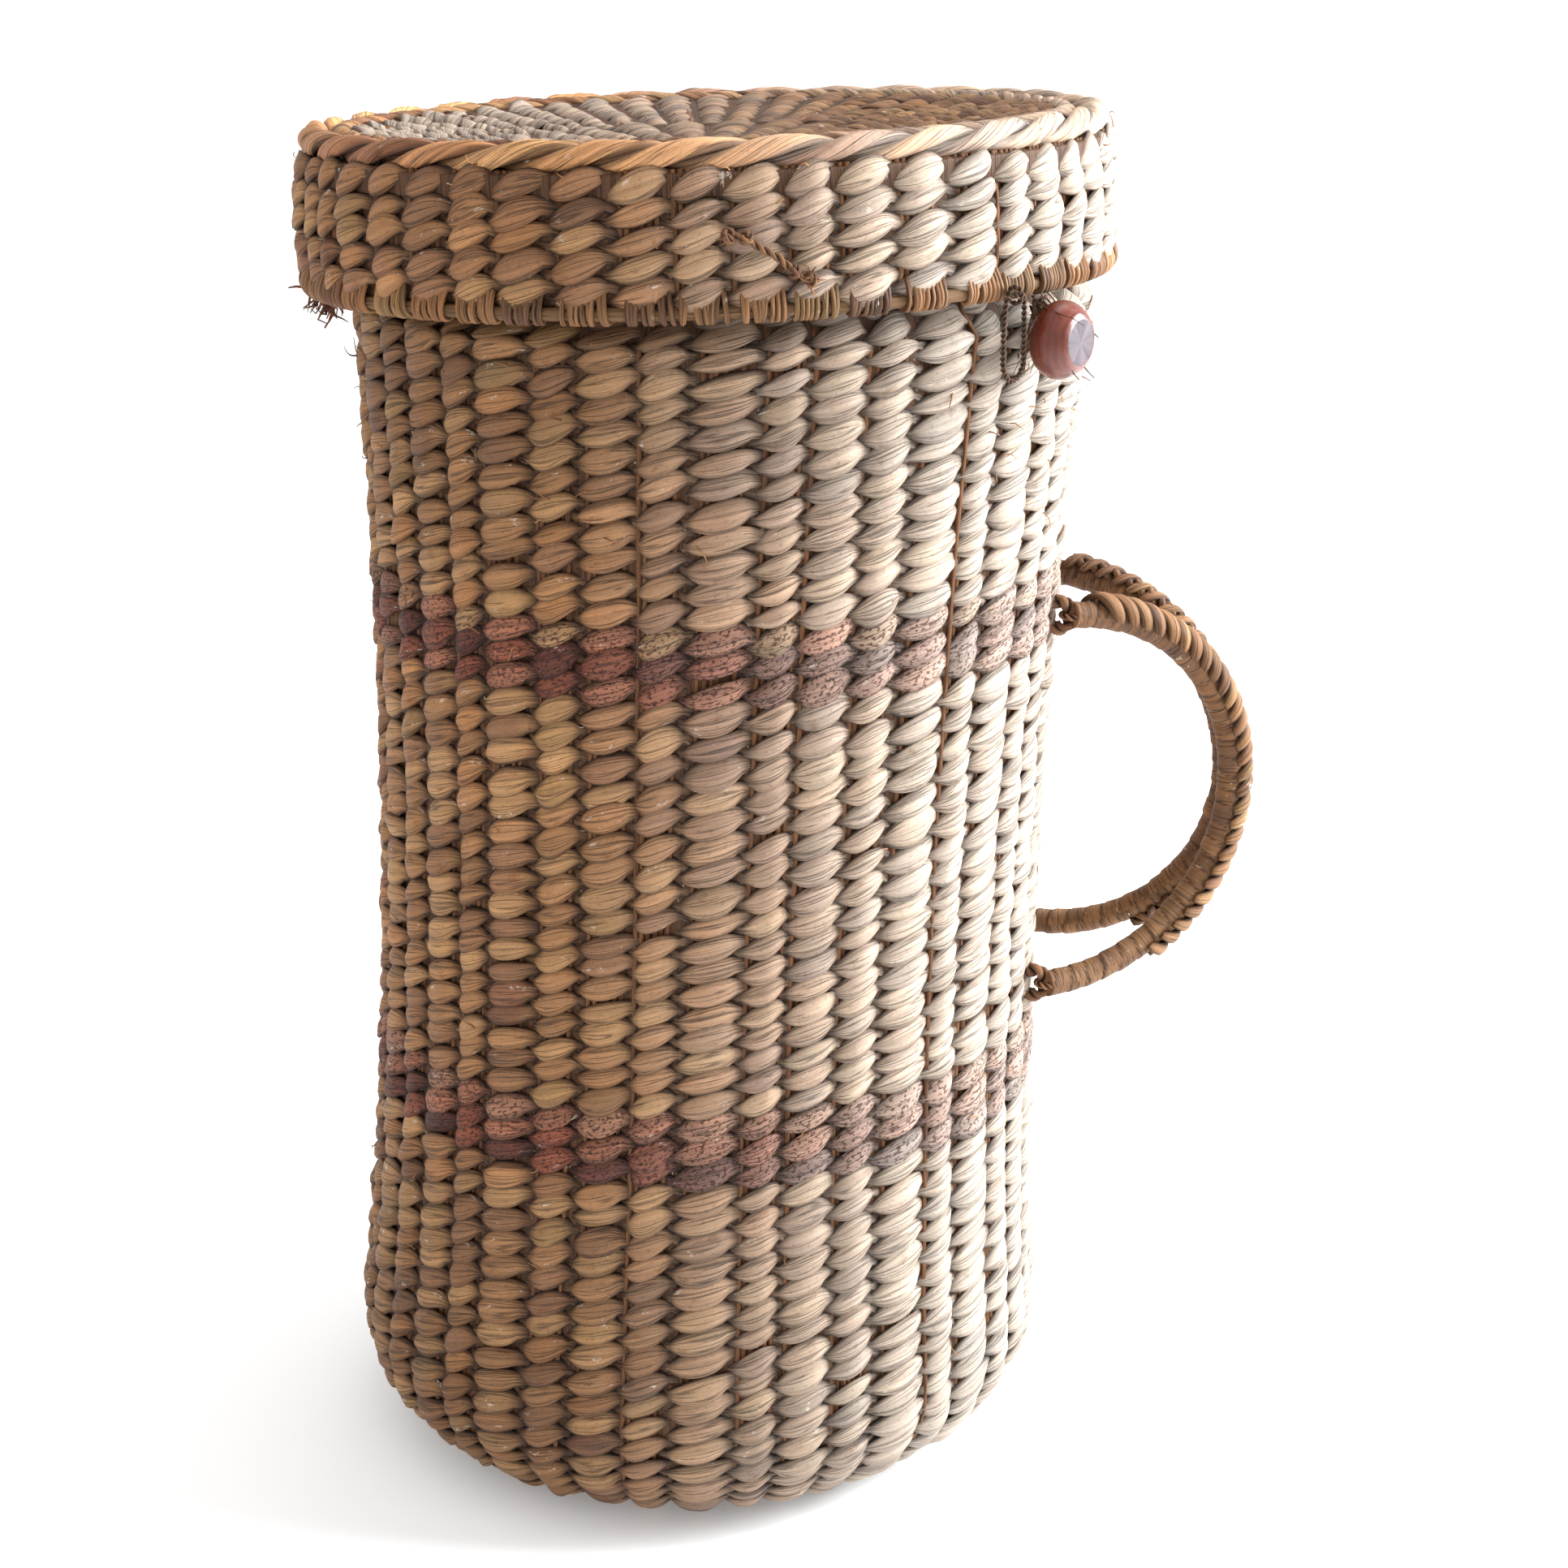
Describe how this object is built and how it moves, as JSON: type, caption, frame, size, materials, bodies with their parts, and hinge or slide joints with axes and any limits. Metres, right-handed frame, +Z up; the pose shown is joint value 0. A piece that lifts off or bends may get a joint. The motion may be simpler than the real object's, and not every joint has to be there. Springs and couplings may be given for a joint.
{
  "type": "laundry basket",
  "caption": "Tall round twined rush laundry basket with an overlapping tied-on lid, a side handle of raffia hoops, dyed bands and a wooden closing knob.",
  "frame": {"origin": "centre of the flat underside of the base", "axes": "+Z up, +X towards the closing knob, the lid's hinge runs parallel to Y on the -X side"},
  "size_m": [0.375, 0.3476, 0.599],
  "materials": {
    "straw": "dry twined rush, slight sheen along the fibre",
    "pale_straw": "smooth wrapped raffia",
    "stalk": "bundled rush stalks",
    "dyed_straw": "rush dyed red-brown, speckled",
    "twine": "dark weathered twine",
    "polished_wood": "red-brown turned wood, worn varnish"
  },
  "bodies": {
    "basket": {"base_disc": "straw", "foot_wale": "straw", "wall_lower": "straw", "dyed_band_lower": "dyed_straw", "wall_middle": "straw", "dyed_band_upper": "dyed_straw", "wall_upper": "straw", "neck_wall": "straw", "rim_rope": "stalk", "stake_cage": "stalk", "hinge_cord_left": "twine", "hinge_cord_right": "twine", "hinge_knot_left": "twine", "hinge_knot_right": "twine", "knob_shank": "twine", "knob_knot": "twine", "handle_front_tie_top": "twine", "handle_front_tie_bottom": "twine", "handle_front_knot_top": "twine", "handle_front_knot_bottom": "twine", "handle_rear_tie_top": "twine", "handle_rear_tie_bottom": "twine", "handle_rear_knot_top": "twine", "handle_rear_knot_bottom": "twine"},
    "lid": {"lid_disc": "straw", "lid_inner_braid": "stalk", "lid_rim_rope": "straw", "skirt_weave": "straw", "skirt_border": "stalk", "lid_spokes": "stalk", "skirt_tie": "twine", "hinge_loop_left": "twine", "hinge_loop_right": "twine", "loop_stitch": "twine"},
    "handle_front_hoop": {"handle_front_core": "stalk", "handle_front_wrap": "pale_straw", "handle_front_ridge": "pale_straw", "handle_front_eye_top": "stalk", "handle_front_eye_bottom": "stalk"},
    "handle_rear_hoop": {"handle_rear_core": "stalk", "handle_rear_wrap": "pale_straw", "handle_rear_ridge": "pale_straw", "handle_rear_eye_top": "stalk", "handle_rear_eye_bottom": "stalk"},
    "closing_knob": {"knob": "polished_wood"},
    "closing_cord": {"closing_loop": "twine"}
  },
  "joints": [
    {"name": "lid_hinge", "type": "hinge", "parent": "basket", "child": "lid", "pos_m": [-0.173, 0.011, 0.518], "axis": [0, -1, 0], "range_deg": [0, 110]},
    {"name": "front_hoop_swing", "type": "hinge", "parent": "basket", "child": "handle_front_hoop", "pos_m": [0.14888, 0.07209, 0.301], "axis": [-0.0285, -0.0221, -0.9993], "range_deg": [0, 100]},
    {"name": "rear_hoop_swing", "type": "hinge", "parent": "basket", "child": "handle_rear_hoop", "pos_m": [0.09685, 0.13411, 0.301], "axis": [0.0267, 0.0242, 0.9993], "range_deg": [0, 100]},
    {"name": "knob_spin", "type": "hinge", "parent": "basket", "child": "closing_knob", "pos_m": [0.17459, 0.01026, 0.515], "axis": [1, 0, 0], "continuous": true},
    {"name": "closing_loop_swing", "type": "hinge", "parent": "lid", "child": "closing_cord", "pos_m": [0.17827, -0.01704, 0.53532], "axis": [0, -1, 0], "range_deg": [-10, 120]}
  ]
}
